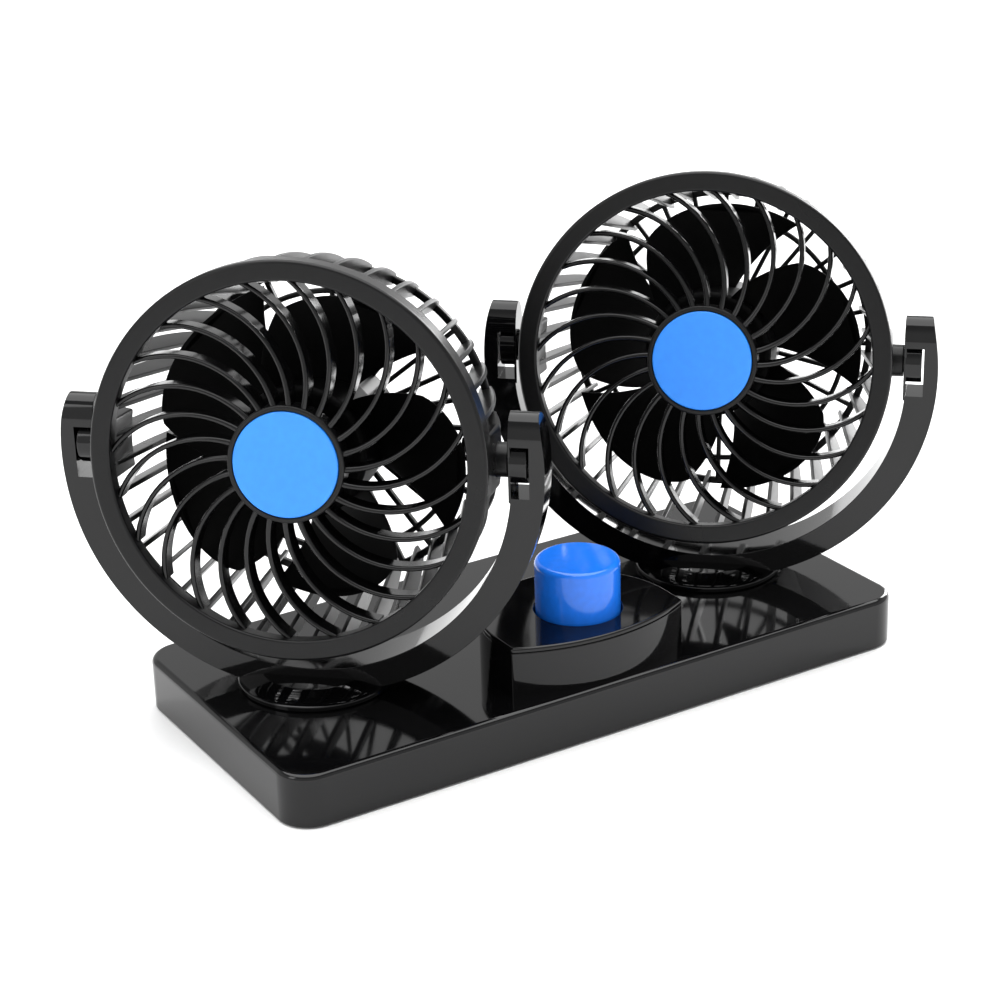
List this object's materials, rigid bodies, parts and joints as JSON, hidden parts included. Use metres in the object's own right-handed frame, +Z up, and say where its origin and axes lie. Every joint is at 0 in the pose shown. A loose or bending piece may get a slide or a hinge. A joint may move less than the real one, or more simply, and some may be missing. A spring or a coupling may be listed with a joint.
{
  "type": "dashboard fan",
  "caption": "Twin-headed dashboard fan: caged heads tilt in U-shaped yokes that swivel on a rounded slab base with a push button on a raised console.",
  "frame": {"origin": "on the resting surface, under the middle of the base", "axes": "+X along the base towards the right-hand fan, +Y towards the base's rear, +Z up; the console and button are at -Y"},
  "size_m": [0.2841, 0.1254, 0.1626],
  "materials": {
    "gloss_black": "polished black moulding, mirror-like, fine dust and hairline scuffs",
    "satin_black": "satin black moulding with soft wide highlights",
    "blue_satin": "flat sky-blue disc, even satin",
    "blue_gloss": "glossy blue moulding",
    "black_rubber": "matt black rubber",
    "steel": "plain zinc-plated steel",
    "motor_can": "plain drawn metal can",
    "board_green": "green circuit laminate",
    "ceramic": "off-white ceramic block"
  },
  "bodies": {
    "base": {"base_shell": "gloss_black", "switch_panel": "gloss_black", "base_plate": "satin_black", "grip_pad": "black_rubber", "plate_screw_1": "steel", "plate_screw_2": "steel", "plate_screw_3": "steel", "plate_screw_4": "steel", "cord_inlet": "black_rubber", "circuit_board": "board_green", "speed_resistor": "ceramic", "switch_body": "satin_black"},
    "button": {"push_button": "blue_gloss", "switch_plunger": "satin_black"},
    "left_stand": {"left_turntable": "gloss_black", "left_yoke": "gloss_black", "left_friction_washer": "black_rubber", "left_retaining_washer": "steel", "left_spindle_screw": "steel"},
    "left_head": {"left_front_grille": "satin_black", "left_hub_disc": "blue_satin", "left_rear_cage": "satin_black", "left_motor": "motor_can", "left_motor_cover": "satin_black", "left_tilt_pin_1": "satin_black", "left_tilt_pin_2": "satin_black", "left_motor_screw_1": "steel", "left_motor_screw_2": "steel"},
    "left_impeller": {"left_rotor": "satin_black", "left_motor_shaft": "steel"},
    "right_stand": {"right_turntable": "gloss_black", "right_yoke": "gloss_black", "right_friction_washer": "black_rubber", "right_retaining_washer": "steel", "right_spindle_screw": "steel"},
    "right_head": {"right_front_grille": "satin_black", "right_hub_disc": "blue_satin", "right_rear_cage": "satin_black", "right_motor": "motor_can", "right_motor_cover": "satin_black", "right_tilt_pin_1": "satin_black", "right_tilt_pin_2": "satin_black", "right_motor_screw_1": "steel", "right_motor_screw_2": "steel"},
    "right_impeller": {"right_rotor": "satin_black", "right_motor_shaft": "steel"}
  },
  "joints": [
    {"name": "button_press", "type": "slide", "parent": "base", "child": "button", "axis": [0, 0, 1], "range_m": [-0.0025, 0], "stiffness_N_per_m": 500, "springref_m": 0.0015},
    {"name": "left_swivel", "type": "hinge", "parent": "base", "child": "left_stand", "pos_m": [-0.0781, 0.0038, 0.0182], "axis": [0, 0, 1], "range_deg": [-132, 218]},
    {"name": "left_tilt", "type": "hinge", "parent": "left_stand", "child": "left_head", "pos_m": [-0.0781, 0.0038, 0.0972], "axis": [-0.7314, 0.682, 0], "range_deg": [-97.5, 82.5]},
    {"name": "left_spin", "type": "hinge", "parent": "left_head", "child": "left_impeller", "pos_m": [-0.0781, 0.0038, 0.0972], "axis": [-0.6762, -0.7251, 0.1305], "continuous": true},
    {"name": "right_swivel", "type": "hinge", "parent": "base", "child": "right_stand", "pos_m": [0.0781, 0.0038, 0.0182], "axis": [0, 0, 1], "range_deg": [-131.6, 218.4]},
    {"name": "right_tilt", "type": "hinge", "parent": "right_stand", "child": "right_head", "pos_m": [0.0781, 0.0038, 0.0972], "axis": [-0.7266, 0.6871, 0], "range_deg": [-100.9, 79.1]},
    {"name": "right_spin", "type": "hinge", "parent": "right_head", "child": "right_impeller", "pos_m": [0.0781, 0.0038, 0.0972], "axis": [-0.6747, -0.7135, 0.1891], "continuous": true}
  ]
}
